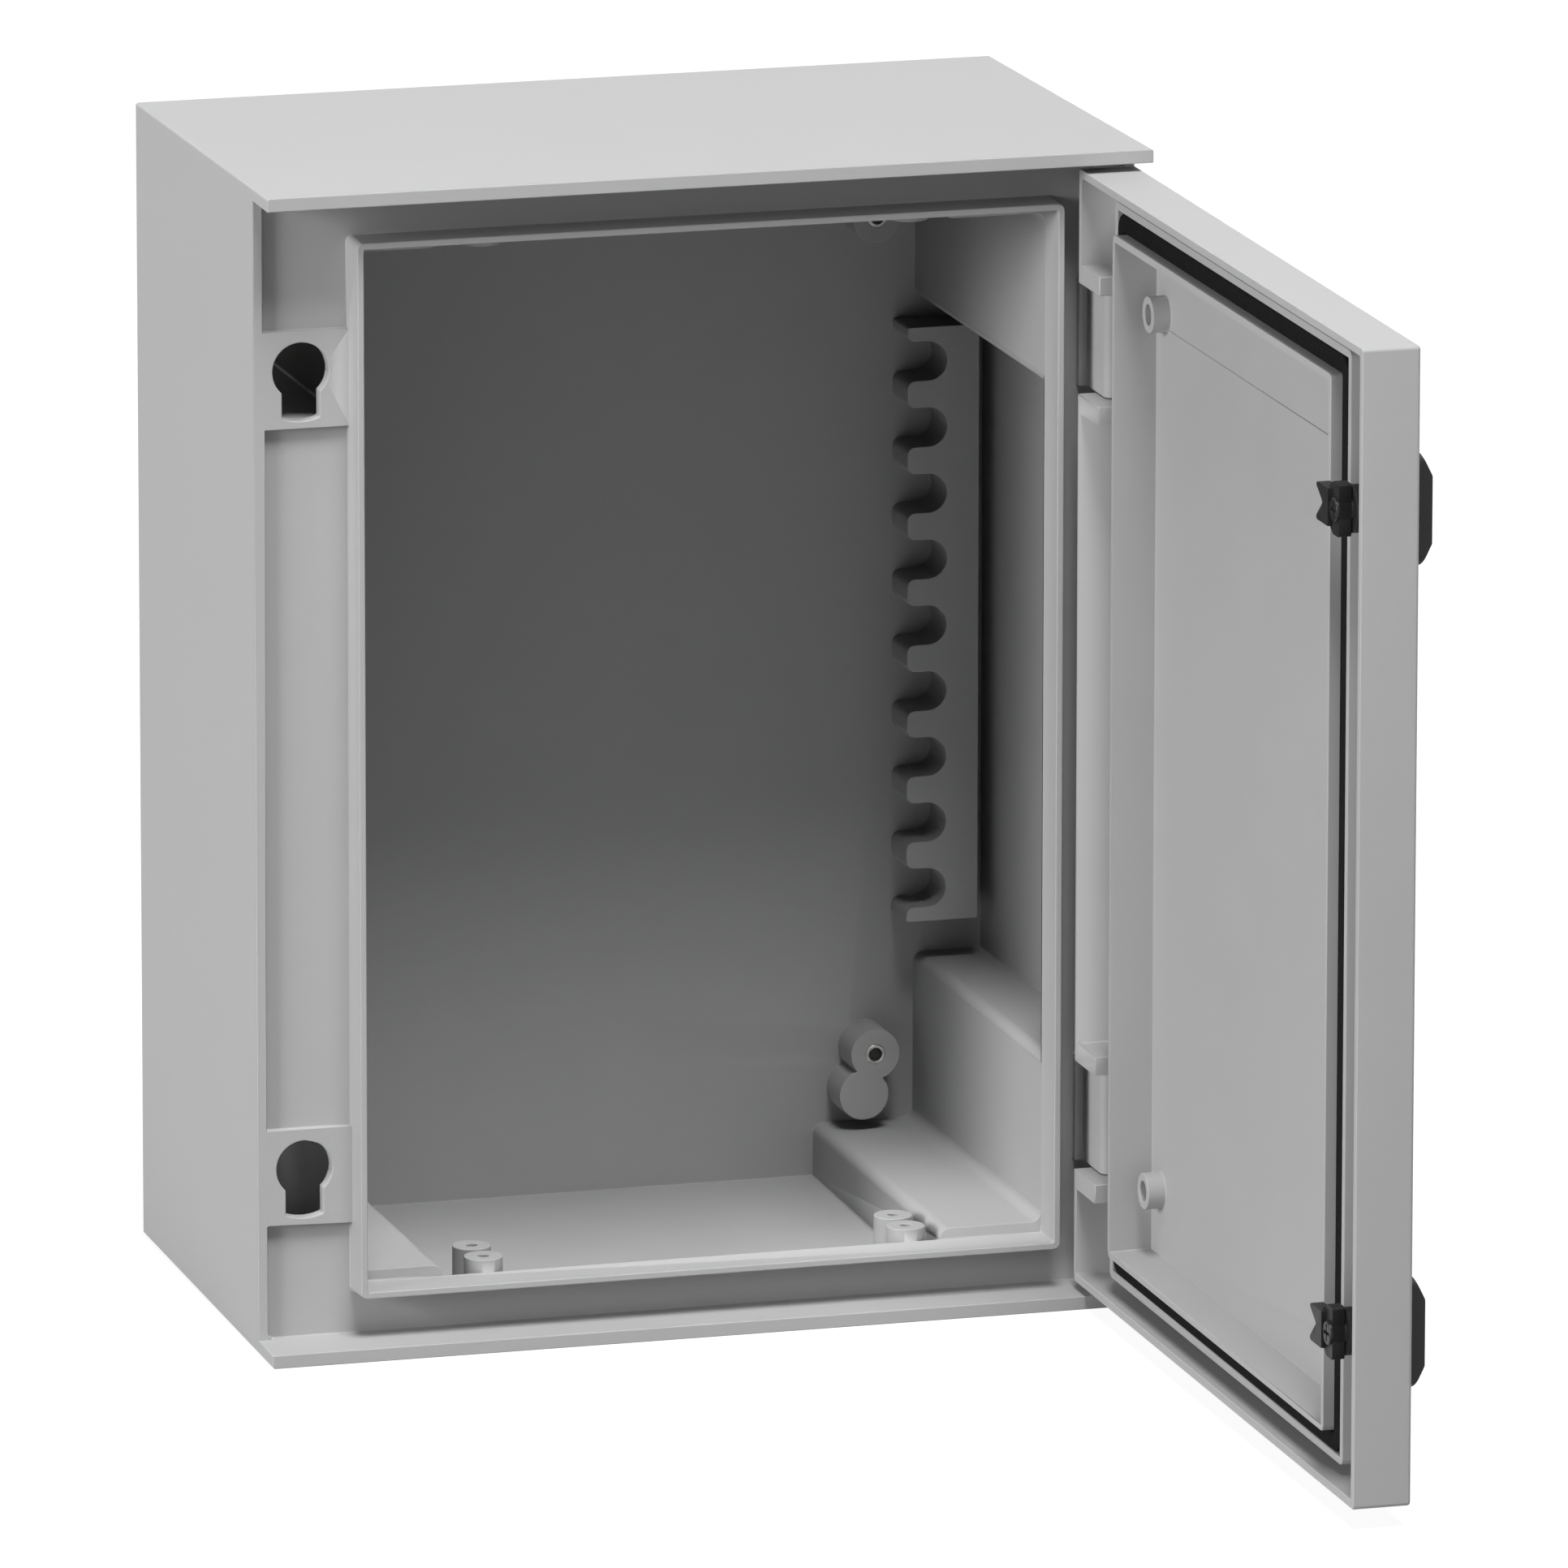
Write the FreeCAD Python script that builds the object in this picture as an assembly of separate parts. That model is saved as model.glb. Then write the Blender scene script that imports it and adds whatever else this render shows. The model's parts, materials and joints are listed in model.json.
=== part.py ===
# A moulded glass-fibre polyester wall enclosure with a hinged door.
#
# The origin is the centre of the rear face, which lies on the wall.
# X runs to the right, Y into the wall, Z up. The door is modelled shut and then swung open.
# Depths are measured from the front edge of the two hoods, towards the wall.
# A cut passes beyond what it opens, and pieces that are fused merge by a small depth.

import FreeCAD
import Part
import math
import os

from FreeCAD import Vector

os.makedirs("parts", exist_ok=True)

# Body
body_width = 330.0
body_height = 430.0
body_depth = 195.5
hood_reach = 22.1
body_draft = 2.0
side_wall = 4.0
hood_wall = 5.0
back_wall = 4.5
body_corner = 1.0
cavity_corner = 3.0
merge = 0.5
beyond = 1.0
hair = 0.01
same_place = 1e-6

# Flange and neck
flange_recess = 3.0
flange_wall = 2.5
flange_above_neck = 20.5
neck_wall = 2.4
neck_rim_depth = 11.1
neck_draft = 0.6
neck_corner = 2.5
neck_inner_round = 0.8

# Corner columns, hollow from behind
column_wall = 3.0
foot_reach = 67.0
foot_height = 22.0
column_round = 4.0
column_inner_round = 1.0

# Keyhole strikes
strike_height = 35.4
strike_drop = 20.8
strike_above_column = 1.6
keyhole_radius = 10.45
keyhole_slot = 14.0
keyhole_reach = 18.4

# Bosses on the back wall
plate_from_side = 51.7
plate_from_end = 56.1
wall_from_side = 56.1
wall_from_end = 40.8
back_boss_radius = 9.5
back_boss_height = 17.0
boss_root = 1.0
insert_radius = 3.7
insert_bore = 2.5
insert_length = 12.0

# Bosses on the floor and under the roof
floor_boss_radius = 7.1
floor_boss_height = 22.5
floor_boss_from_neck = 52.0
floor_boss_depth = 34.5
floor_boss_spacing = 16.0
floor_boss_hole = 2.0
floor_boss_hole_depth = 12.0

# Slotted racks at the back
rack_width = 27.6
rack_depth = 20.0
rack_wall_gap = 7.2
rack_lift = 4.5
rack_top_gap = 7.0
notch_pitch = 25.0
notch_height = 14.8
notch_reach = 15.2
notch_flat = 0.1
rack_end_tooth = 5.4
tooth_round = 3.0
rack_corner = 1.0

# Door
door_hood_gap = 3.0
door_wall = 3.5
door_proud = 4.5
skirt_wall = 3.2
skirt_depth = 21.2
door_edge_round = 1.2
door_corner = 1.4
door_inner_round = 0.8
outer_rib_wall = 3.0
inner_frame_wall = 2.5
channel_outside = 2.2
channel_inside = 2.6
gasket_depth = 5.9
gasket_thickness = 6.0
gasket_clearance = 0.1
frame_stand = 4.0
door_boss_radius = 6.7
door_boss_hole = 3.8
door_boss_height = 6.8
door_boss_floor = 1.5
door_boss_from_side = 18.75
door_boss_from_end = 32.3

# Hinges
hinge_from_end = 70.5
hinge_from_side = 9.9
hinge_from_front = 6.75
hinge_gap = 40.8
ear_thickness = 7.0
knuckle_clearance = 0.4
eye_radius = 3.95
eye_relief = 1.0
arm_inset = 18.0
arm_rib_gap = 6.7
arm_thickness = 4.8
arm_round = 3.5
arm_root = 3.0
pin_radius = 2.0
pin_chamfer = 0.4
pin_fit = 0.03
pin_running_fit = 0.06
door_open_angle = 90.0

# Locks
lock_from_end = 68.0
nut_skirt_gap = 3.7
nut_rib_gap = 2.0
lock_face_length = 40.0
lock_face_width = 20.0
lock_face_edge = 3.4
lock_face_height = 7.3
lock_face_flat = 24.0
lock_face_corner = 4.0
lock_face_bend = 2.0
lock_face_rim = 0.8
barrel_radius = 8.5
barrel_reach = 19.5
barrel_clearance = 0.2
barrel_end_wall = 6.0
barrel_fit = 0.05
head_radius = 6.2
head_length = 8.0
head_sink = 1.0
ring_from_face = 4.8
ring_width = 1.7
ring_inner = 5.1
ring_outer = 6.25
ring_groove = 5.0
ring_side_gap = 0.05
ring_round = 0.5
shaft_radius = 4.0
shaft_clearance = 0.1
seal_thickness = 1.5
seal_radius = 11.0
nut_thickness = 5.0
nut_flats = 22.0
nut_corner = 1.0
key_slot_width = 1.8
key_slot_depth = 2.5
hub_before_rim = 1.3
hub_thickness = 4.6
hub_half_width = 9.4
hub_reach = 3.5
hub_corner = 1.0
tongue_beyond_rim = 0.4
tongue_thickness = 4.6
tongue_width = 13.4
tongue_reach = 17.2
tongue_shoulder = 8.0
tongue_corner = 1.2
valley_length = 6.5
valley_depth = 3.0
valley_shoulder = 1.0
valley_tip = 0.05
square_side = 5.8
square_clearance = 0.05
cam_screw_head = 4.3
cam_screw_head_height = 1.3
cam_screw_shank = 1.9
cam_screw_length = 8.0
cam_screw_round = 0.5
cam_screw_fit = 0.05
cross_reach = 3.0
cross_depth = 0.9
cross_width = 1.0

# Values worked out from the sizes above
half_width = body_width / 2
half_height = body_height / 2
inner_half_width = half_width - side_wall
inner_half_height = half_height - hood_wall
front_of_hoods = -body_depth
front_of_walls = front_of_hoods + hood_reach
front_of_flange = front_of_walls + flange_recess
back_of_flange = front_of_flange + flange_wall
neck_rim = front_of_hoods + neck_rim_depth
inside_back = -back_wall
rib_and_channel = outer_rib_wall + channel_outside
neck_left = skirt_wall + nut_skirt_gap + nut_flats + nut_rib_gap + rib_and_channel - half_width
neck_right = half_width - arm_inset - arm_rib_gap - rib_and_channel
neck_width = neck_right - neck_left
neck_shift = (neck_left + neck_right) / 2
neck_height = body_height - 2 * flange_above_neck
plate_pitch_x = body_width - 2 * plate_from_side
plate_pitch_z = body_height - 2 * plate_from_end
wall_pitch_x = body_width - 2 * wall_from_side
wall_pitch_z = body_height - 2 * wall_from_end
floor_boss_pitch = neck_width - 2 * floor_boss_from_neck
door_front = front_of_hoods - door_proud
door_inside = door_front + door_wall
door_rim = door_front + skirt_depth
door_height = 2 * (inner_half_height - door_hood_gap)
door_boss_pitch_x = neck_width - 2 * door_boss_from_side
door_boss_pitch_z = neck_height - 2 * door_boss_from_end
hinge_pitch = body_height - 2 * hinge_from_end
hinge_x = half_width - hinge_from_side
hinge_y = door_front + hinge_from_front
lock_x = skirt_wall + nut_skirt_gap + nut_flats / 2 - half_width
lock_pitch = body_height - 2 * lock_from_end
column_top = lock_pitch / 2 - strike_drop - strike_above_column
rack_room = 2 * (column_top - rack_lift - rack_top_gap - rack_end_tooth)
notch_count = 1 + math.floor((rack_room - notch_height) / notch_pitch)
hub_face = door_rim - hub_before_rim
hub_end = hub_face + hub_thickness
tongue_face = door_rim + tongue_beyond_rim


def box(x0, x1, y0, y1, z0, z1):
    corner = Vector(min(x0, x1), min(y0, y1), min(z0, z1))
    return Part.makeBox(abs(x1 - x0), abs(y1 - y0), abs(z1 - z0), corner)


def rod(radius, start, direction, length):
    return Part.makeCylinder(radius, length, start, direction)


def rounded_wire(corners, radii):
    """A closed outline through the corners, each one rounded by its radius."""
    count = len(corners)
    edges = []
    joints = []
    for i, here in enumerate(corners):
        radius = radii[i] if isinstance(radii, (list, tuple)) else radii
        before = (corners[i - 1] - here).normalize()
        after = (corners[(i + 1) % count] - here).normalize()
        if radius <= 0:
            joints.append((here, here, None))
            continue
        half_turn = before.getAngle(after) / 2
        run = radius / math.tan(half_turn)
        bisector = (before + after).normalize()
        middle = here + bisector * (radius / math.sin(half_turn) - radius)
        joints.append((here + before * run, here + after * run, middle))
    for i, (start, end, middle) in enumerate(joints):
        if middle is not None:
            edges.append(Part.Arc(start, middle, end).toShape())
        following = joints[(i + 1) % count][0]
        if end.distanceToPoint(following) > same_place:
            edges.append(Part.LineSegment(end, following).toShape())
    return Part.Wire(edges)


def upright_rectangle(half_x, half_z, y, radius, shift=0.0):
    corners = [
        Vector(shift - half_x, y, -half_z),
        Vector(shift + half_x, y, -half_z),
        Vector(shift + half_x, y, half_z),
        Vector(shift - half_x, y, half_z),
    ]
    return rounded_wire(corners, radius)


def block(half_x, half_z, y0, y1, radius, shift=0.0):
    face = Part.Face(upright_rectangle(half_x, half_z, y0, radius, shift))
    return face.extrude(Vector(0, y1 - y0, 0))


def tube(half_x, half_z, wall, y0, y1, radius, shift=0.0):
    outside = block(half_x, half_z, y0, y1, radius, shift)
    inner_radius = max(radius - wall, 0.0)
    return outside.cut(block(half_x - wall, half_z - wall, y0, y1, inner_radius, shift))


def tapered_block(front, back, y0, y1, radius, shift=0.0):
    sections = [
        upright_rectangle(front[0], front[1], y0, radius, shift),
        upright_rectangle(back[0], back[1], y1, radius, shift),
    ]
    return Part.makeLoft(sections, True, True)


def outer_skin():
    front = (half_width, half_height)
    back = (half_width - body_draft, half_height - body_draft)
    skin = tapered_block(front, back, front_of_hoods, 0.0, body_corner)
    between_hoods = box(
        -body_width, body_width, front_of_hoods - beyond, front_of_walls,
        -inner_half_height, inner_half_height,
    )
    return skin.cut(between_hoods)


def cavity():
    front = (inner_half_width, inner_half_height)
    back = (inner_half_width - body_draft, inner_half_height - body_draft)
    return tapered_block(front, back, back_of_flange, inside_back, cavity_corner)


def column_outline(side, end, wall, y):
    """The step in one corner: a low foot with the tall column behind the strike."""
    neck_face = neck_right if side > 0 else -neck_left
    column_edge = neck_face - neck_wall + wall
    foot_edge = inner_half_width - foot_reach + wall
    foot_top = inner_half_height - foot_height + wall
    step_top = column_top + wall
    far_x = inner_half_width - body_draft if wall else half_width - body_draft
    far_z = inner_half_height - body_draft if wall else half_height - body_draft
    flat = [
        (foot_edge, far_z),
        (foot_edge, foot_top),
        (column_edge, foot_top),
        (column_edge, step_top),
        (far_x, step_top),
        (far_x, far_z),
    ]
    rounding = max(column_round - wall, column_inner_round)
    radii = [0.0, rounding, rounding, rounding, 0.0, 0.0]
    corners = [Vector(side * x, y, end * z) for x, z in flat]
    return rounded_wire(corners, radii)


def corner_column(side, end):
    face = Part.Face(column_outline(side, end, 0.0, front_of_flange))
    return face.extrude(Vector(0, -front_of_flange, 0))


def column_hollow(side, end):
    """The room behind a step. The foot keeps a front wall where the neck opens onto it."""
    face = Part.Face(column_outline(side, end, column_wall, back_of_flange))
    hollow = face.extrude(Vector(0, beyond - back_of_flange, 0))
    neck_face = neck_right if side > 0 else -neck_left
    foot_front = box(
        0, side * (neck_face - neck_wall + column_wall),
        back_of_flange - beyond, back_of_flange + column_wall, 0, end * half_height,
    )
    return hollow.cut(foot_front)


def neck():
    rim = (neck_width / 2, neck_height / 2)
    base = (rim[0] + neck_draft, rim[1] + neck_draft)
    return tapered_block(rim, base, neck_rim, back_of_flange, neck_corner, neck_shift)


def neck_opening():
    half_x = neck_width / 2 - neck_wall
    half_z = neck_height / 2 - neck_wall
    stop = back_of_flange + hair
    return block(half_x, half_z, neck_rim - beyond, stop, neck_inner_round, neck_shift)


def strike_bounds(end):
    circle_z = end * lock_pitch / 2
    top = circle_z + strike_height - strike_drop
    return circle_z - strike_drop, top


def strike_pad(end):
    low, high = strike_bounds(end)
    return box(-half_width + side_wall / 2, neck_left, front_of_walls, back_of_flange, low, high)


def keyhole(end):
    circle_z = end * lock_pitch / 2
    start = front_of_walls - beyond
    stop = back_of_flange + beyond
    centre = Vector(lock_x, start, circle_z)
    deep = stop - start
    along = Vector(0, 1, 0)
    slot = box(
        lock_x - keyhole_slot / 2, lock_x + keyhole_slot / 2, start, stop,
        circle_z - keyhole_reach - beyond, circle_z,
    )
    round_end = rod(keyhole_reach, centre, along, deep)
    return rod(keyhole_radius, centre, along, deep).fuse(slot.common(round_end))


def back_boss(x, z):
    root = Vector(x, inside_back + boss_root, z)
    return rod(back_boss_radius, root, Vector(0, -1, 0), back_boss_height + boss_root)


def floor_boss(x, depth, end):
    base = Vector(x, front_of_hoods + depth, end * (inner_half_height + boss_root))
    return rod(floor_boss_radius, base, Vector(0, 0, -end), floor_boss_height + boss_root)


def floor_boss_bore(x, depth, end):
    top = end * (inner_half_height - floor_boss_height - beyond)
    start = Vector(x, front_of_hoods + depth, top)
    return rod(floor_boss_hole, start, Vector(0, 0, end), floor_boss_hole_depth + beyond)


def floor_boss_spots(side):
    x = neck_shift + side * floor_boss_pitch / 2
    return [(x, floor_boss_depth), (x, floor_boss_depth + floor_boss_spacing)]


def knuckle(end):
    """The body's half of a hinge: an arm from the flange and an eye round the pin."""
    centre_z = end * hinge_pitch / 2
    half = hinge_gap / 2 - knuckle_clearance
    bottom = centre_z - half
    arm_left = half_width - arm_inset
    arm_right = arm_left + arm_thickness
    eye_front = hinge_y - eye_radius
    eye_back = hinge_y + eye_radius
    outline = [
        Vector(arm_left, back_of_flange, bottom),
        Vector(arm_left, eye_front, bottom),
        Vector(hinge_x, eye_front, bottom),
        Vector(hinge_x, eye_back, bottom),
        Vector(arm_right, eye_back, bottom),
        Vector(arm_right, back_of_flange, bottom),
    ]
    up = Vector(0, 0, 2 * half)
    arm = Part.Face(rounded_wire(outline, [0, arm_round, 0, 0, 0, 0])).extrude(up)
    eye = rod(eye_radius, Vector(hinge_x, hinge_y, bottom), Vector(0, 0, 1), 2 * half)
    pad = box(
        arm_left - arm_root, half_width - side_wall / 2, front_of_walls, back_of_flange,
        bottom, centre_z + half,
    )
    return arm.fuse([eye, pad])


def pin_hole(end, radius, length):
    start = Vector(hinge_x, hinge_y, end * hinge_pitch / 2 - length / 2)
    return rod(radius, start, Vector(0, 0, 1), length)


def enclosure_shell():
    skin = outer_skin()
    recess = block(
        inner_half_width, inner_half_height, front_of_walls - beyond, front_of_flange,
        cavity_corner,
    )
    shell = skin.cut([cavity(), recess])
    corners = [(side, end) for side in (-1, 1) for end in (-1, 1)]
    added = [neck()]
    added += [corner_column(side, end).common(skin) for side, end in corners]
    added += [strike_pad(end) for end in (-1, 1)]
    added += [knuckle(end) for end in (-1, 1)]
    for side, end in corners:
        for pitch_x, pitch_z in ((plate_pitch_x, plate_pitch_z), (wall_pitch_x, wall_pitch_z)):
            added.append(back_boss(side * pitch_x / 2, end * pitch_z / 2))
        added += [floor_boss(x, depth, end) for x, depth in floor_boss_spots(side)]
    shell = shell.fuse(added)
    removed = [neck_opening()]
    removed += [column_hollow(side, end) for side, end in corners]
    removed += [keyhole(end) for end in (-1, 1)]
    removed += [pin_hole(end, pin_radius + pin_running_fit, hinge_gap) for end in (-1, 1)]
    front_of_boss = inside_back - back_boss_height
    for side, end in corners:
        plate_spot = Vector(
            side * plate_pitch_x / 2, front_of_boss - beyond, end * plate_pitch_z / 2,
        )
        removed.append(rod(insert_radius, plate_spot, Vector(0, 1, 0), insert_length + beyond))
        wall_spot = Vector(side * wall_pitch_x / 2, beyond, end * wall_pitch_z / 2)
        removed.append(rod(insert_radius, wall_spot, Vector(0, -1, 0), insert_length + beyond))
        removed += [floor_boss_bore(x, depth, end) for x, depth in floor_boss_spots(side)]
    return shell.cut(removed).removeSplitter()


def threaded_insert(x, z, y_mouth, inward):
    start = Vector(x, y_mouth, z)
    along = Vector(0, inward, 0)
    sleeve = rod(insert_radius, start, along, insert_length)
    return sleeve.cut(rod(insert_bore, start, along, insert_length))


def insert_set(pitch_x, pitch_z, y_mouth, inward):
    return Part.makeCompound([
        threaded_insert(side * pitch_x / 2, end * pitch_z / 2, y_mouth, inward)
        for side in (-1, 1) for end in (-1, 1)
    ])


def rack(side):
    """A slotted rack beside the side wall, its notches open towards the middle."""
    outer = half_width - body_draft - side_wall - rack_wall_gap
    inner = outer - rack_width
    half = ((notch_count - 1) * notch_pitch + notch_height) / 2 + rack_end_tooth
    front = inside_back - rack_depth
    outline = [
        Vector(side * outer, front, rack_lift - half),
        Vector(side * inner, front, rack_lift - half),
        Vector(side * inner, front, rack_lift + half),
        Vector(side * outer, front, rack_lift + half),
    ]
    bar = Part.Face(rounded_wire(outline, rack_corner)).extrude(Vector(0, rack_depth, 0))
    notches = []
    for i in range(notch_count):
        z = rack_lift + (i - (notch_count - 1) / 2) * notch_pitch
        low = z - notch_height / 2
        high = z + notch_height / 2
        mouth = inner - beyond
        end = inner + notch_reach
        corners = [
            Vector(side * mouth, front, low),
            Vector(side * end, front, low),
            Vector(side * end, front, high),
            Vector(side * mouth, front, high),
        ]
        round_end = (notch_height - notch_flat) / 2
        notch = Part.Face(rounded_wire(corners, [0, round_end, round_end, 0]))
        notches.append(notch.extrude(Vector(0, rack_depth, 0)))
        for edge in (-1, 1):
            notches.append(tooth_rounding(side, inner, z + edge * notch_height / 2, edge))
    return bar.cut(notches)


def tooth_rounding(side, inner, z, edge):
    """What a rounded tooth corner leaves out of a square one."""
    front = inside_back - rack_depth
    square = box(
        side * inner, side * (inner + tooth_round), front, inside_back,
        z, z + edge * tooth_round,
    )
    centre = Vector(side * (inner + tooth_round), front, z + edge * tooth_round)
    return square.cut(rod(tooth_round, centre, Vector(0, 1, 0), rack_depth))


def open_door(shape):
    """Swing a piece of the shut door to the pose in which it is shown."""
    turned = shape.copy()
    turned.rotate(Vector(hinge_x, hinge_y, 0), Vector(0, 0, 1), door_open_angle)
    return turned


def door_pan():
    half_z = door_height / 2
    pan = block(half_width, half_z, door_front, door_rim, door_corner)
    front_edges = [e for e in pan.Edges if abs(e.BoundBox.YMax - door_front) < same_place]
    pan = pan.makeFillet(door_edge_round, front_edges)
    inside = block(
        half_width - skirt_wall, half_z - skirt_wall, door_inside, door_rim + beyond,
        door_inner_round,
    )
    return pan.cut(inside)


def channel_floor_y():
    return door_rim - gasket_depth - gasket_thickness


def channel_sides():
    """Half sizes of the gasket's channel, outside and inside the neck's rim."""
    outside = (neck_width / 2 + channel_outside, neck_height / 2 + channel_outside)
    inset = neck_wall + channel_inside
    inside = (neck_width / 2 - inset, neck_height / 2 - inset)
    return outside, inside


def gasket_channel():
    outside, inside = channel_sides()
    floor = channel_floor_y()
    rib_edge = door_rim - gasket_depth
    frame_edge = rib_edge + frame_stand
    rib = tube(
        outside[0] + outer_rib_wall, outside[1] + outer_rib_wall, outer_rib_wall,
        door_inside - merge, rib_edge, outer_rib_wall, neck_shift,
    )
    frame = tube(
        inside[0], inside[1], inner_frame_wall,
        door_inside - merge, frame_edge, inner_frame_wall, neck_shift,
    )
    floor_band = tube(
        outside[0] + merge, outside[1] + merge, outside[0] - inside[0] + 2 * merge,
        door_inside - merge, floor, 0.0, neck_shift,
    )
    return [rib, frame, floor_band]


def hinge_ears(end):
    outside = channel_sides()[0]
    left = neck_shift + outside[0] + outer_rib_wall - merge
    centre_z = end * hinge_pitch / 2
    ears = []
    for way in (-1, 1):
        near = centre_z + way * hinge_gap / 2
        far = near + way * ear_thickness
        ears.append(box(left, half_width - merge, door_inside - merge, door_rim, near, far))
    return ears


def hinge_pocket(end):
    """The gap in the skirt and the shallow relief that clear the body's knuckle."""
    outside = channel_sides()[0]
    left = neck_shift + outside[0] + outer_rib_wall
    centre_z = end * hinge_pitch / 2
    low = centre_z - hinge_gap / 2
    high = centre_z + hinge_gap / 2
    return box(
        left, half_width + beyond, door_inside - eye_relief, door_rim + beyond, low, high,
    )


def door_boss_spots():
    return [
        (neck_shift + side * door_boss_pitch_x / 2, end * door_boss_pitch_z / 2)
        for side in (-1, 1) for end in (-1, 1)
    ]


def door_shell():
    added = gasket_channel()
    for end in (-1, 1):
        added += hinge_ears(end)
    inward = Vector(0, 1, 0)
    for x, z in door_boss_spots():
        start = Vector(x, door_inside - merge, z)
        added.append(rod(door_boss_radius, start, inward, door_boss_height + merge))
    door = door_pan().fuse(added)
    removed = []
    for end in (-1, 1):
        removed.append(hinge_pocket(end))
        length = hinge_gap + 2 * (ear_thickness + beyond)
        removed.append(pin_hole(end, pin_radius + pin_fit, length))
        start = Vector(lock_x, door_front - beyond, end * lock_pitch / 2)
        barrel_hole = barrel_radius + barrel_clearance
        removed.append(rod(barrel_hole, start, inward, door_wall + 2 * beyond))
    for x, z in door_boss_spots():
        start = Vector(x, door_inside + door_boss_floor, z)
        removed.append(rod(door_boss_hole, start, inward, door_boss_height))
    return door.cut(removed).removeSplitter()


def door_gasket():
    outside, inside = channel_sides()
    half_x = outside[0] - gasket_clearance
    half_z = outside[1] - gasket_clearance
    width = outside[0] - inside[0] - 2 * gasket_clearance
    return tube(
        half_x, half_z, width, channel_floor_y(), door_rim - gasket_depth, width, neck_shift,
    )


def hinge_pin(end):
    length = hinge_gap + 2 * ear_thickness
    pin = pin_hole(end, pin_radius, length)
    ends = [e for e in pin.Edges if e.Curve.TypeId == "Part::GeomCircle"]
    return pin.makeChamfer(pin_chamfer, ends)


def lock_housing(end):
    """The faceted face on the door's front, with the round barrel behind it."""
    z = end * lock_pitch / 2
    half = lock_face_length / 2
    flat = lock_face_flat / 2
    left = lock_x - lock_face_width / 2
    edge_y = door_front - lock_face_edge
    top_y = door_front - lock_face_height
    outline = [
        Vector(left, door_front, z - half),
        Vector(left, edge_y, z - half),
        Vector(left, top_y, z - flat),
        Vector(left, top_y, z + flat),
        Vector(left, edge_y, z + half),
        Vector(left, door_front, z + half),
    ]
    radii = [0, lock_face_rim, lock_face_bend, lock_face_bend, lock_face_rim, 0]
    face = Part.Face(rounded_wire(outline, radii))
    body = face.extrude(Vector(lock_face_width, 0, 0))
    plan = block(lock_face_width / 2, half, top_y - beyond, door_front, lock_face_corner, lock_x)
    plan.translate(Vector(0, 0, z))
    body = body.common(plan)
    inward = Vector(0, 1, 0)
    barrel = rod(
        barrel_radius, Vector(lock_x, door_front - merge, z), inward, barrel_reach + merge,
    )
    barrel_end = door_front + barrel_reach
    head_room = rod(
        head_radius + shaft_clearance, Vector(lock_x, top_y - beyond, z), inward,
        barrel_end - barrel_end_wall - top_y + beyond,
    )
    shaft_hole = rod(
        shaft_radius + shaft_clearance, Vector(lock_x, top_y, z), inward,
        barrel_end - top_y + beyond,
    )
    return body.fuse(barrel).cut([head_room, shaft_hole]).removeSplitter()


def lock_seal(end):
    start = Vector(lock_x, door_inside, end * lock_pitch / 2)
    ring = rod(seal_radius, start, Vector(0, 1, 0), seal_thickness)
    return ring.cut(rod(barrel_radius + barrel_fit, start, Vector(0, 1, 0), seal_thickness))


def lock_nut(end):
    z = end * lock_pitch / 2
    y = door_inside + seal_thickness
    reach = nut_flats / 2 / math.cos(math.radians(30))
    corners = [
        Vector(
            lock_x + reach * math.sin(math.radians(60 * i)), y,
            z + reach * math.cos(math.radians(60 * i)),
        )
        for i in range(6)
    ]
    hexagon = Part.Face(rounded_wire(corners, nut_corner)).extrude(Vector(0, nut_thickness, 0))
    start = Vector(lock_x, y, z)
    bore = rod(barrel_radius + barrel_fit, start, Vector(0, 1, 0), nut_thickness)
    return hexagon.cut(bore)


def ring_band(end, inner, outer, extra):
    """A flat ring about the spindle, where its sealing ring sits."""
    head_face = door_front - lock_face_height + head_sink
    start = Vector(lock_x, head_face + ring_from_face - extra, end * lock_pitch / 2)
    width = ring_width + 2 * extra
    inward = Vector(0, 1, 0)
    return rod(outer, start, inward, width).cut(rod(inner, start, inward, width))


def spindle_ring(end):
    """The ring that seals the key head in its housing and slides with it."""
    ring = ring_band(end, ring_inner, ring_outer, 0.0)
    outer_edges = [e for e in ring.Edges if e.Length > math.pi * (ring_inner + ring_outer)]
    rims = [e for e in outer_edges if e.Curve.TypeId == "Part::GeomCircle"]
    return ring.makeFillet(ring_round, rims)


def lock_spindle(end):
    """Key head, shaft and the square that drives the tongue."""
    z = end * lock_pitch / 2
    inward = Vector(0, 1, 0)
    head_face = door_front - lock_face_height + head_sink
    head = rod(head_radius, Vector(lock_x, head_face, z), inward, head_length)
    head = head.cut(ring_band(end, ring_groove, head_radius + beyond, ring_side_gap))
    shaft = rod(shaft_radius, Vector(lock_x, head_face, z), inward, hub_face - head_face)
    half = square_side / 2
    square = box(lock_x - half, lock_x + half, hub_face - beyond, hub_end, z - half, z + half)
    slot = box(
        lock_x - head_radius, lock_x + head_radius, head_face - beyond,
        head_face + key_slot_depth, z - key_slot_width / 2, z + key_slot_width / 2,
    )
    screw_room = rod(
        cam_screw_shank + cam_screw_fit, Vector(lock_x, hub_end - cam_screw_length, z),
        inward, cam_screw_length + beyond,
    )
    return head.fuse([shaft, square]).cut([slot, screw_room]).removeSplitter()


def tongue_plan(end, corners, radii, y):
    z = end * lock_pitch / 2
    points = [Vector(lock_x + x, y, z + half) for x, half in corners]
    return Part.Face(rounded_wire(points, radii))


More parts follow.
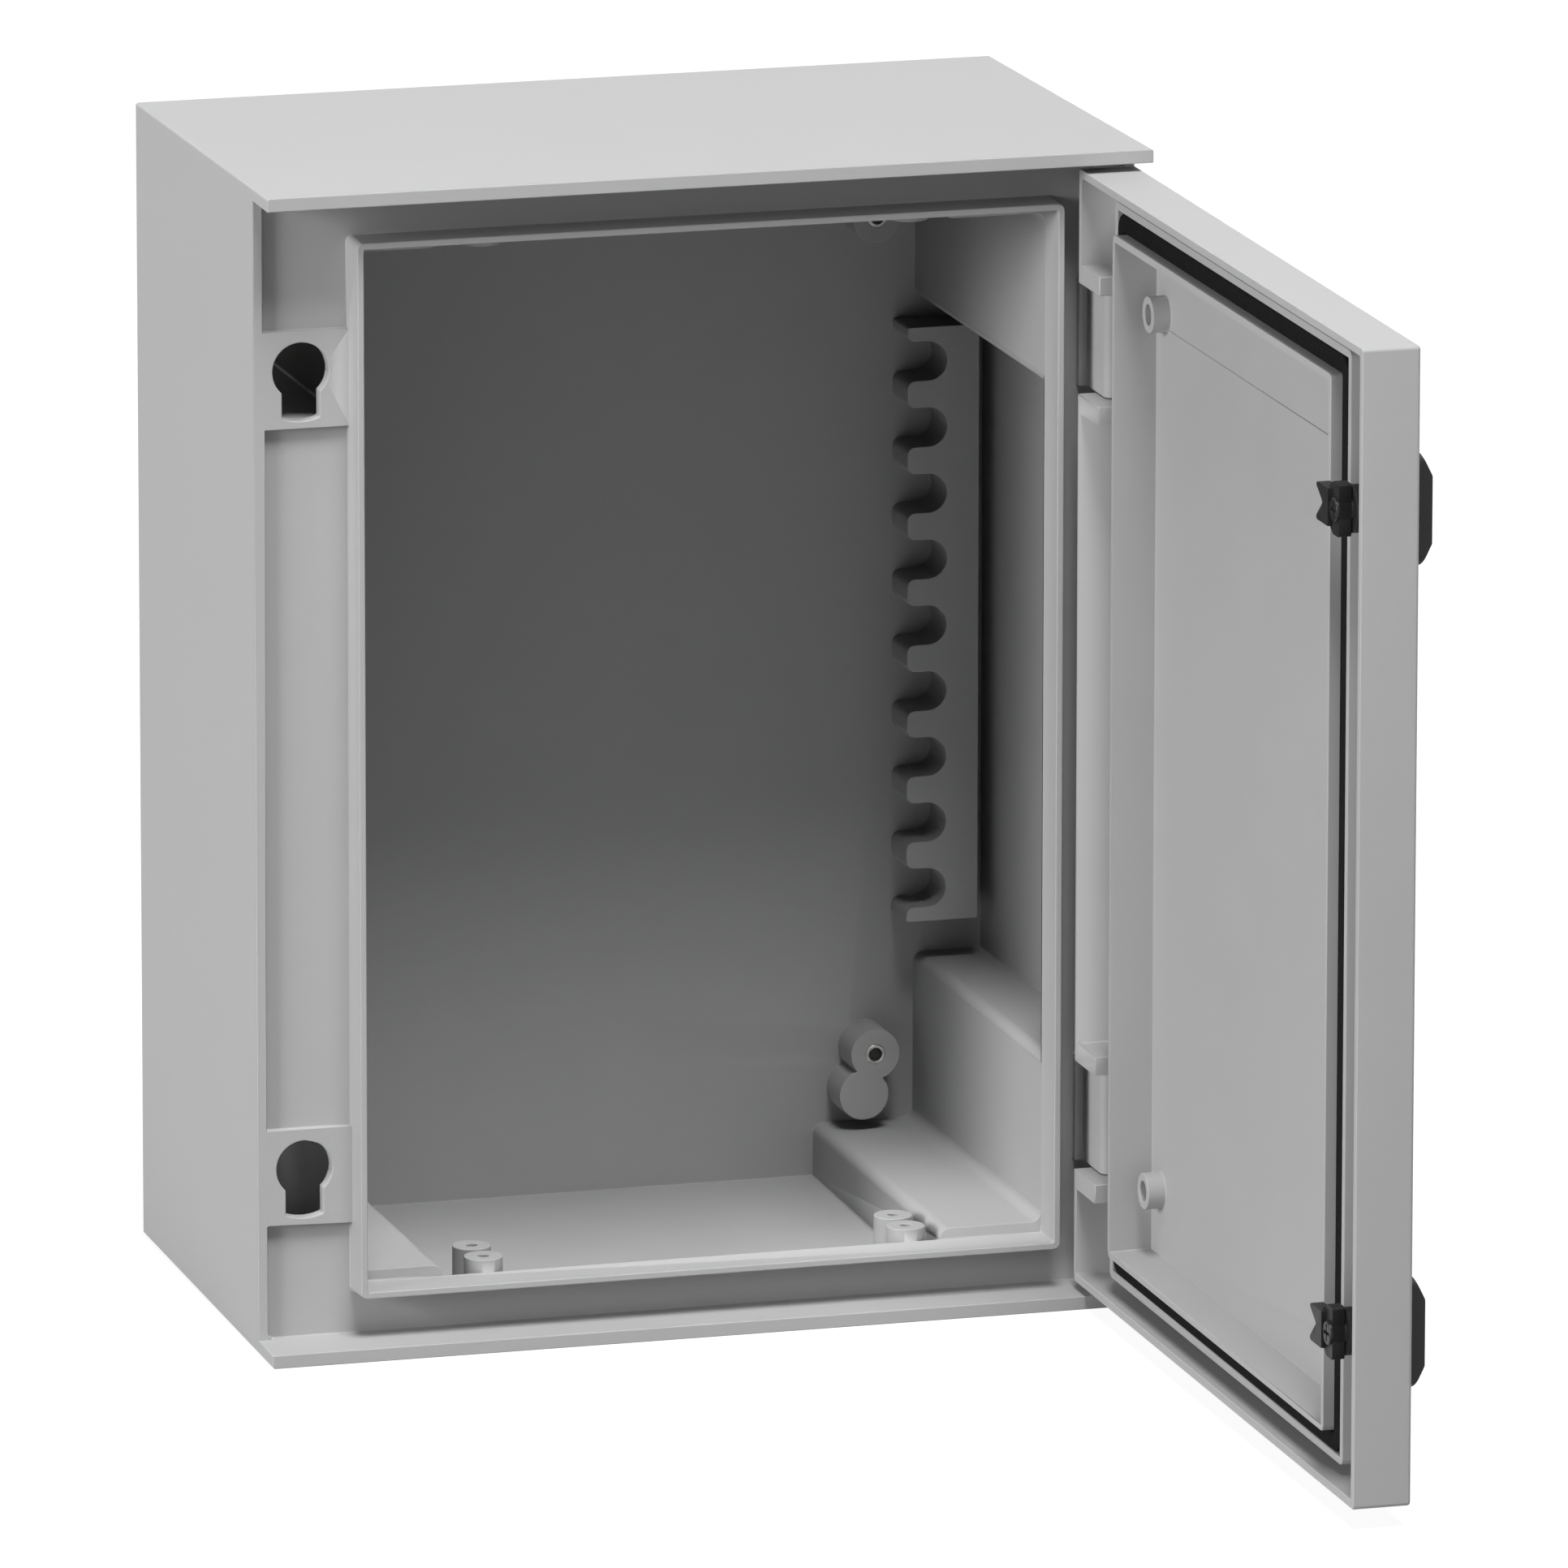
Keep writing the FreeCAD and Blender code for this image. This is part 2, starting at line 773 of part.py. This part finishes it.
def tongue_valley(end):
    """The groove in the tongue's end, which leaves a ramp on each side."""
    z = end * lock_pitch / 2
    rear = tongue_face + tongue_thickness
    above = rear + hair
    start = lock_x + tongue_reach - valley_length
    stop = lock_x + tongue_reach + merge
    wide = tongue_width / 2 - valley_shoulder
    deep_end = Part.makePolygon([
        Vector(stop, above, z - wide),
        Vector(stop, rear - valley_depth, z),
        Vector(stop, above, z + wide),
        Vector(stop, above, z - wide),
    ])
    shallow_end = Part.makePolygon([
        Vector(start, above, z - valley_shoulder),
        Vector(start, rear - valley_tip, z),
        Vector(start, above, z + valley_shoulder),
        Vector(start, above, z - valley_shoulder),
    ])
    return Part.makeLoft([deep_end, shallow_end], True, True)


def lock_tongue(end):
    """A forked hub that grips the square from the hinge side, and the tongue a step further in."""
    z = end * lock_pitch / 2
    square = square_side / 2 + square_clearance
    back = -square_side / 2
    half = tongue_width / 2
    hub_corners = [
        (back, -hub_half_width), (hub_reach, -hub_half_width), (tongue_shoulder, -half),
        (tongue_shoulder, half), (hub_reach, hub_half_width), (back, hub_half_width),
    ]
    radii = [hub_corner, hub_corner, 0, 0, hub_corner, hub_corner]
    hub = tongue_plan(end, hub_corners, radii, hub_face)
    hub = hub.extrude(Vector(0, hub_thickness, 0))
    arm_start = cam_screw_head + 2 * square_clearance
    arm_corners = [
        (arm_start, -half), (tongue_reach, -half), (tongue_reach, half), (arm_start, half),
    ]
    arm = tongue_plan(end, arm_corners, [0, tongue_corner, tongue_corner, 0], tongue_face)
    arm = arm.extrude(Vector(0, tongue_thickness, 0))
    fork = box(
        lock_x + back - beyond, lock_x + square, hub_face - beyond, hub_end + beyond,
        z - square, z + square,
    )
    return hub.fuse(arm).cut([tongue_valley(end), fork]).removeSplitter()


def cam_screw(end):
    z = end * lock_pitch / 2
    outward = Vector(0, 1, 0)
    head = rod(cam_screw_head, Vector(lock_x, hub_end, z), outward, cam_screw_head_height)
    top = hub_end + cam_screw_head_height
    rim = [e for e in head.Edges if abs(e.BoundBox.YMin - top) < same_place]
    head = head.makeFillet(cam_screw_round, rim)
    shank = rod(
        cam_screw_shank, Vector(lock_x, hub_end + merge, z), Vector(0, -1, 0), cam_screw_length,
    )
    cuts = []
    for angle in (0, 90):
        bar = box(
            lock_x - cross_reach, lock_x + cross_reach, top - cross_depth, top + beyond,
            z - cross_width / 2, z + cross_width / 2,
        )
        bar.rotate(Vector(lock_x, top, z), outward, angle)
        cuts.append(bar)
    return head.fuse(shank).cut(cuts).removeSplitter()


def save(shape, name):
    shape.exportStep("parts/" + name + ".step")


save(enclosure_shell(), "enclosure_shell")
save(rack(-1), "left_rack")
save(rack(1), "right_rack")
save(insert_set(plate_pitch_x, plate_pitch_z, inside_back - back_boss_height, 1), "plate_inserts")
save(insert_set(wall_pitch_x, wall_pitch_z, 0.0, -1), "wall_inserts")
save(open_door(door_shell()), "door_shell")
save(open_door(door_gasket()), "door_gasket")
for place, end in (("upper", 1), ("lower", -1)):
    save(open_door(hinge_pin(end)), place + "_hinge_pin")
    save(open_door(lock_housing(end)), place + "_lock_housing")
    save(open_door(lock_seal(end)), place + "_lock_seal")
    save(open_door(lock_nut(end)), place + "_lock_nut")
    save(open_door(spindle_ring(end)), place + "_spindle_ring")
    save(open_door(lock_spindle(end)), place + "_lock_spindle")
    save(open_door(lock_tongue(end)), place + "_lock_tongue")
    save(open_door(cam_screw(end)), place + "_tongue_screw")
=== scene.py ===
import bpy
import bmesh
import json
import math
from mathutils import Euler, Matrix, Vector


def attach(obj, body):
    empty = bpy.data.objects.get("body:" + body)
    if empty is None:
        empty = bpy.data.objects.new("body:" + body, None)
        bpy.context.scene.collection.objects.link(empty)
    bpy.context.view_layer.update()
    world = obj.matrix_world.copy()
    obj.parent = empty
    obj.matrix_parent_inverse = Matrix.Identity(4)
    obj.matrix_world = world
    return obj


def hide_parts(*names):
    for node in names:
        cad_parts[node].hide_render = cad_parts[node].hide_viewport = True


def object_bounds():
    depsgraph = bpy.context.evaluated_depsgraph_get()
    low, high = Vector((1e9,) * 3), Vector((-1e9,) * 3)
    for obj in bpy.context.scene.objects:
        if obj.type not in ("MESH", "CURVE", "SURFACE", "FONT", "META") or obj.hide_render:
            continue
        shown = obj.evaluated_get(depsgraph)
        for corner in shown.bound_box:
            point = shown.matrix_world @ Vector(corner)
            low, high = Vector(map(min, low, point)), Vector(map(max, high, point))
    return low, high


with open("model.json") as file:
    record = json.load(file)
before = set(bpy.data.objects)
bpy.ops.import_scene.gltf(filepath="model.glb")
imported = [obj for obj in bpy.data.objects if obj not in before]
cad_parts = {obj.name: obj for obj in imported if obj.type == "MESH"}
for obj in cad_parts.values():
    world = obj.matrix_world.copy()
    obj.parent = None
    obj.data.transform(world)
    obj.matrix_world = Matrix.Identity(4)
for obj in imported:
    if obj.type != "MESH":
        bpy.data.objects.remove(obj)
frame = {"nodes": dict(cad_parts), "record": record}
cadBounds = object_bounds()
record = frame["record"]
bodyOf = {
    node: body
    for body, nodes in record["behaviour"]["bodies"].items()
    for node in nodes
}
print("frame loaded with", len(frame["nodes"]), "nodes")


def newMaterial(name):
    made = bpy.data.materials.new(name)
    made.use_nodes = True
    tree = made.node_tree
    coords = tree.nodes.new("ShaderNodeTexCoord")
    return made, tree, tree.nodes["Principled BSDF"], coords.outputs["Object"]


def noise(tree, coords, scale, detail, roughness=0.5):
    made = tree.nodes.new("ShaderNodeTexNoise")
    made.inputs["Scale"].default_value = scale
    made.inputs["Detail"].default_value = detail
    made.inputs["Roughness"].default_value = roughness
    tree.links.new(coords, made.inputs["Vector"])
    return made.outputs["Fac"]


def spread(tree, value, low, high, fromLow=0.3, fromHigh=0.7):
    made = tree.nodes.new("ShaderNodeMapRange")
    made.inputs["From Min"].default_value = fromLow
    made.inputs["From Max"].default_value = fromHigh
    made.inputs["To Min"].default_value = low
    made.inputs["To Max"].default_value = high
    tree.links.new(value, made.inputs["Value"])
    return made.outputs["Result"]


def blendColours(tree, value, first, second):
    made = tree.nodes.new("ShaderNodeMixRGB")
    made.inputs["Color1"].default_value = (*first, 1)
    made.inputs["Color2"].default_value = (*second, 1)
    tree.links.new(value, made.inputs["Fac"])
    return made.outputs["Color"]


def tint(tree, shader, pattern, values):
    # Colour and roughness follow one pattern
    share = spread(tree, pattern, 0.0, 1.0)
    colour = blendColours(tree, share, values["darker"], values["lighter"])
    tree.links.new(colour, shader.inputs["Base Color"])
    rough = spread(tree, pattern, values["roughLow"], values["roughHigh"])
    tree.links.new(rough, shader.inputs["Roughness"])


def bump(tree, height, strength, distance, below=None):
    made = tree.nodes.new("ShaderNodeBump")
    made.inputs["Strength"].default_value = strength
    made.inputs["Distance"].default_value = distance
    tree.links.new(height, made.inputs["Height"])
    if below is not None:
        tree.links.new(below, made.inputs["Normal"])
    return made.outputs["Normal"]


# Moulded glass-fibre polyester: a pale satin grey with a faint cloud in it
# from the resin, a slow ripple and a fine grain.
polyester = {
    "darker": (0.54, 0.546, 0.541),
    "lighter": (0.556, 0.561, 0.557),
    "cloudScale": 30.0,
    "cloudDetail": 6.0,
    "cloudBreak": 0.65,
    "rippleScale": 45.0,
    "rippleStrength": 0.05,
    "rippleHeight": 0.0004,
    "grainScale": 1500.0,
    "grainStrength": 0.15,
    "grainHeight": 0.00006,
    "fineDetail": 2.0,
    "roughLow": 0.5,
    "roughHigh": 0.6,
    "specular": 0.2,
}


def polyesterMaterial(values):
    made, tree, shader, coords = newMaterial("mouldedPolyester")
    cloud = noise(
        tree, coords, values["cloudScale"], values["cloudDetail"], values["cloudBreak"])
    tint(tree, shader, cloud, values)
    normal = None
    for layer in ("ripple", "grain"):
        height = noise(tree, coords, values[layer + "Scale"], values["fineDetail"])
        normal = bump(
            tree, height, values[layer + "Strength"], values[layer + "Height"], normal)
    tree.links.new(normal, shader.inputs["Normal"])
    shader.inputs["Specular IOR Level"].default_value = values["specular"]
    return made


# Foamed gasket: a dull near-black skin with small open pores.
foam = {
    "darker": (0.004, 0.004, 0.004),
    "lighter": (0.012, 0.012, 0.012),
    "poreScale": 900.0,
    "poreWidth": 0.6,
    "poreStrength": 0.5,
    "poreHeight": 0.00025,
    "rough": 0.95,
    "specular": 0.08,
}


def foamMaterial(values):
    made, tree, shader, coords = newMaterial("gasketFoam")
    pores = tree.nodes.new("ShaderNodeTexVoronoi")
    pores.inputs["Scale"].default_value = values["poreScale"]
    tree.links.new(coords, pores.inputs["Vector"])
    distance = pores.outputs["Distance"]
    size = spread(tree, distance, 0.0, 1.0, fromLow=0.0, fromHigh=values["poreWidth"])
    colour = blendColours(tree, size, values["darker"], values["lighter"])
    tree.links.new(colour, shader.inputs["Base Color"])
    normal = bump(tree, size, values["poreStrength"], values["poreHeight"])
    tree.links.new(normal, shader.inputs["Normal"])
    shader.inputs["Roughness"].default_value = values["rough"]
    shader.inputs["Specular IOR Level"].default_value = values["specular"]
    return made


# Glass-filled nylon of the locks: black, satin, with a spark-eroded texture.
nylon = {
    "darker": (0.007, 0.007, 0.008),
    "lighter": (0.016, 0.016, 0.017),
    "textureScale": 1800.0,
    "textureDetail": 4.0,
    "textureStrength": 0.25,
    "textureHeight": 0.00006,
    "roughLow": 0.42,
    "roughHigh": 0.55,
    "specular": 0.3,
}


def nylonMaterial(values):
    made, tree, shader, coords = newMaterial("lockNylon")
    texture = noise(tree, coords, values["textureScale"], values["textureDetail"])
    tint(tree, shader, texture, values)
    normal = bump(tree, texture, values["textureStrength"], values["textureHeight"])
    tree.links.new(normal, shader.inputs["Normal"])
    shader.inputs["Specular IOR Level"].default_value = values["specular"]
    return made


# Metal: the scratches run along one axis, so the noise is stretched by a mapping.
scratches = {"detail": 4.0, "strength": 0.1, "height": 0.00004}
metals = {
    "drawnSteel": {
        "darker": (0.42, 0.42, 0.43), "lighter": (0.62, 0.62, 0.63),
        "stretch": (900, 900, 30), "roughLow": 0.22, "roughHigh": 0.38, "metallic": 1.0,
    },
    "blackedScrew": {
        "darker": (0.015, 0.015, 0.016), "lighter": (0.05, 0.05, 0.052),
        "stretch": (700, 700, 700), "roughLow": 0.3, "roughHigh": 0.5, "metallic": 0.7,
    },
    "platedInsert": {
        "darker": (0.5, 0.5, 0.49), "lighter": (0.74, 0.73, 0.7),
        "stretch": (300, 2200, 300), "roughLow": 0.2, "roughHigh": 0.35, "metallic": 1.0,
    },
}


def metalMaterial(name, values):
    made, tree, shader, coords = newMaterial(name)
    stretch = tree.nodes.new("ShaderNodeMapping")
    stretch.inputs["Scale"].default_value = values["stretch"]
    tree.links.new(coords, stretch.inputs["Vector"])
    lines = noise(tree, stretch.outputs["Vector"], 1.0, scratches["detail"])
    tint(tree, shader, lines, values)
    normal = bump(tree, lines, scratches["strength"], scratches["height"])
    tree.links.new(normal, shader.inputs["Normal"])
    shader.inputs["Metallic"].default_value = values["metallic"]
    return made


moulded = polyesterMaterial(polyester)
gasketFoam = foamMaterial(foam)
lockNylon = nylonMaterial(nylon)
metal = {name: metalMaterial(name, values) for name, values in metals.items()}
print("materials made")


# Each solid is shown as a copy whose edges are eased, as a mould or a tool
# leaves them. The width is in metres. Only the large mouldings have it in
# full, because the parts of the locks run with small clearances.
largeMouldings = ("enclosure_shell", "left_rack", "right_rack", "door_shell")
finishes = {
    "enclosure_shell": {"material": moulded, "width": 0.0004, "segments": 3},
    "left_rack": {"material": moulded, "width": 0.0003, "segments": 2},
    "right_rack": {"material": moulded, "width": 0.0003, "segments": 2},
    "plate_inserts": {"material": metal["platedInsert"], "width": 0.0002, "segments": 2},
    "wall_inserts": {"material": metal["platedInsert"], "width": 0.0002, "segments": 2},
    "door_shell": {"material": moulded, "width": 0.0004, "segments": 3},
    "door_gasket": {"material": gasketFoam, "width": 0.0008, "segments": 3},
}

# The locks and hinges come twice, one above the other.
pairedFinishes = {
    "hinge_pin": {"material": metal["drawnSteel"], "width": 0.0001, "segments": 2},
    "lock_housing": {"material": lockNylon, "width": 0.0005, "segments": 3},
    "lock_seal": {"material": gasketFoam, "width": 0.0002, "segments": 2},
    "lock_nut": {"material": lockNylon, "width": 0.0004, "segments": 2},
    "spindle_ring": {"material": gasketFoam, "width": 0.0001, "segments": 2},
    "lock_spindle": {"material": lockNylon, "width": 0.0003, "segments": 2},
    "lock_tongue": {"material": lockNylon, "width": 0.0004, "segments": 2},
    "tongue_screw": {"material": metal["blackedScrew"], "width": 0.00015, "segments": 2},
}
for place in ("upper", "lower"):
    for part, values in pairedFinishes.items():
        finishes[place + "_" + part] = values

# Angles are in degrees, and the corners that are joined in metres apart. An
# edge shorter than cornerRoom times the width leaves no room to ease a corner.
easing = {
    "sharpAngle": 30.0,
    "flatAngle": 0.3,
    "meetAngle": 40.0,
    "joinLarge": 5e-5,
    "joinSmall": 2e-6,
    "cornerRoom": 0.5,
}
sharpAngle = math.radians(easing["sharpAngle"])
flatAngle = math.radians(easing["flatAngle"])
meetAngle = math.radians(easing["meetAngle"])


def crowded(vert, sharp, width):
    # True where an eased edge would run past its neighbours. Along a line of
    # two sharp edges only the others count, so a round rim stays eased.
    alongLine = sum(edge in sharp for edge in vert.link_edges) <= 2
    for edge in vert.link_edges:
        if alongLine and edge in sharp:
            continue
        if edge.calc_length() < easing["cornerRoom"] * width:
            return True
    for corner in vert.link_loops:
        pair = (corner.edge, corner.link_loop_prev.edge)
        first, second = [edge.other_vert(vert).co - vert.co for edge in pair]
        if first.angle(second) < meetAngle and not sharp.isdisjoint(pair):
            return True
    return False


def markEased(shape, width):
    weight = shape.edges.layers.float.new("bevel_weight_edge")
    sharp = {edge for edge in shape.edges if edge.calc_face_angle(0.0) > sharpAngle}
    ends = {vert for edge in sharp for vert in edge.verts}
    full = {vert for vert in ends if crowded(vert, sharp, width)}
    for edge in sharp:
        if full.isdisjoint(edge.verts):
            edge[weight] = 1.0


def easedPiece(node, values):
    made = bpy.data.objects.new(node + "_eased", frame["nodes"][node].data.copy())
    bpy.context.scene.collection.objects.link(made)
    shape = bmesh.new()
    shape.from_mesh(made.data)
    large = node in largeMouldings
    join = easing["joinLarge"] if large else easing["joinSmall"]
    bmesh.ops.remove_doubles(shape, verts=shape.verts, dist=join)
    bmesh.ops.dissolve_limit(
        shape, angle_limit=flatAngle, verts=shape.verts, edges=shape.edges)
    for face in shape.faces:
        face.smooth = True
    if large:
        markEased(shape, values["width"])
    shape.to_mesh(made.data)
    shape.free()
    made.data.set_sharp_from_angle(angle=sharpAngle)
    made.data.materials.clear()
    made.data.materials.append(values["material"])
    bevel = made.modifiers.new("easedEdges", "BEVEL")
    bevel.width = values["width"]
    bevel.segments = values["segments"]
    bevel.limit_method = "WEIGHT" if large else "ANGLE"
    bevel.angle_limit = sharpAngle
    bevel.use_clamp_overlap = not large
    bevel.miter_outer = "MITER_ARC"
    bevel.harden_normals = True
    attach(made, bodyOf[node])
    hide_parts(node)


for node, values in finishes.items():
    easedPiece(node, values)
print("pieces made:", len(finishes))


# The studio: a pale floor under soft lamps, and a white surround. The floor
# is white to the camera and a plain grey to the light that it throws back.
studio = {
    "floorSize": 40.0,
    "floorSeen": (0.85, 0.85, 0.85),
    "floorBounce": (0.4, 0.4, 0.4),
    "floorRough": 0.9,
    "floorSpecular": 0.1,
    "floorGlow": 0.7,
    "white": 1.3,
    "ambient": 0.012,
    "bounces": 1,
    "lamps": {
        "overhead": {"place": (0.0, -2.0, 4.4), "size": 2.0, "watts": 206.0},
        "left": {"place": (-6.0, -2.3, 1.5), "size": 2.4, "watts": 234.0},
        "rear": {"place": (7.0, 5.4, 0.4), "size": 3.0, "watts": 330.0},
    },
    "lookAt": (0.05, -0.15, 0.0),
}


def seenDirectly(tree):
    # 1 for the camera's own rays and for those of reflections and of glass
    rays = tree.nodes.new("ShaderNodeLightPath")
    seen = rays.outputs["Is Camera Ray"]
    for name in ("Is Glossy Ray", "Is Transmission Ray"):
        either = tree.nodes.new("ShaderNodeMath")
        either.operation = "MAXIMUM"
        tree.links.new(seen, either.inputs[0])
        tree.links.new(rays.outputs[name], either.inputs[1])
        seen = either.outputs[0]
    return seen


def glowWhere(tree, seen, surface, glow, strength, output):
    share = tree.nodes.new("ShaderNodeMath")
    share.operation = "MULTIPLY"
    share.inputs[1].default_value = glow
    tree.links.new(seen, share.inputs[0])
    white = tree.nodes.new("ShaderNodeEmission")
    white.inputs["Color"].default_value = (1, 1, 1, 1)
    white.inputs["Strength"].default_value = strength
    mix = tree.nodes.new("ShaderNodeMixShader")
    tree.links.new(share.outputs[0], mix.inputs["Fac"])
    tree.links.new(surface, mix.inputs[1])
    tree.links.new(white.outputs[0], mix.inputs[2])
    tree.links.new(mix.outputs[0], output)


def makeFloor(values):
    shape = bmesh.new()
    bmesh.ops.create_grid(shape, x_segments=1, y_segments=1, size=values["floorSize"] / 2)
    bmesh.ops.translate(shape, verts=shape.verts, vec=(0, 0, cadBounds[0].z))
    mesh = bpy.data.meshes.new("floor")
    shape.to_mesh(mesh)
    shape.free()
    floor = bpy.data.objects.new("floor", mesh)
    bpy.context.scene.collection.objects.link(floor)
    made, tree, shader = newMaterial("paleFloor")[:3]
    seen = seenDirectly(tree)
    colour = blendColours(tree, seen, values["floorBounce"], values["floorSeen"])
    tree.links.new(colour, shader.inputs["Base Color"])
    shader.inputs["Roughness"].default_value = values["floorRough"]
    shader.inputs["Specular IOR Level"].default_value = values["floorSpecular"]
    output = tree.nodes["Material Output"].inputs["Surface"]
    glowWhere(tree, seen, shader.outputs[0], values["floorGlow"], values["white"], output)
    mesh.materials.append(made)


def makeWorld(values):
    world = bpy.data.worlds.new("studioWorld")
    bpy.context.scene.world = world
    world.use_nodes = True
    tree = world.node_tree
    around = tree.nodes["Background"]
    around.inputs["Color"].default_value = (1, 1, 1, 1)
    around.inputs["Strength"].default_value = values["ambient"]
    output = tree.nodes["World Output"].inputs["Surface"]
    glowWhere(tree, seenDirectly(tree), around.outputs[0], 1.0, values["white"], output)


def makeLamp(name, values, lookAt):
    lamp = bpy.data.lights.new(name, "AREA")
    lamp.shape = "DISK"
    lamp.size = values["size"]
    lamp.energy = values["watts"]
    made = bpy.data.objects.new(name, lamp)
    made.location = values["place"]
    towards = Vector(lookAt) - Vector(values["place"])
    made.rotation_euler = towards.to_track_quat("-Z", "Y").to_euler()
    bpy.context.scene.collection.objects.link(made)


makeFloor(studio)
makeWorld(studio)
for name, values in studio["lamps"].items():
    makeLamp(name, values, studio["lookAt"])
bpy.context.scene.view_settings.view_transform = "Standard"
bpy.context.scene.cycles.diffuse_bounces = studio["bounces"]
print("studio made")


camera = {
    "place": (-1.84267, -6.56992, 1.54374),
    "turnDegrees": (76.8297, -0.0659, -16.3277),
    "lens": 434.3,
    "sensor": 36.0,
    "near": 0.1,
    "far": 100.0,
}
lens = bpy.data.cameras.new("camera")
lens.lens = camera["lens"]
lens.sensor_width = camera["sensor"]
lens.clip_start = camera["near"]
lens.clip_end = camera["far"]
eye = bpy.data.objects.new("camera", lens)
eye.location = camera["place"]
turn = [math.radians(angle) for angle in camera["turnDegrees"]]
eye.rotation_euler = Euler(turn, "XYZ")
bpy.context.scene.collection.objects.link(eye)
bpy.context.scene.camera = eye
print("camera placed")
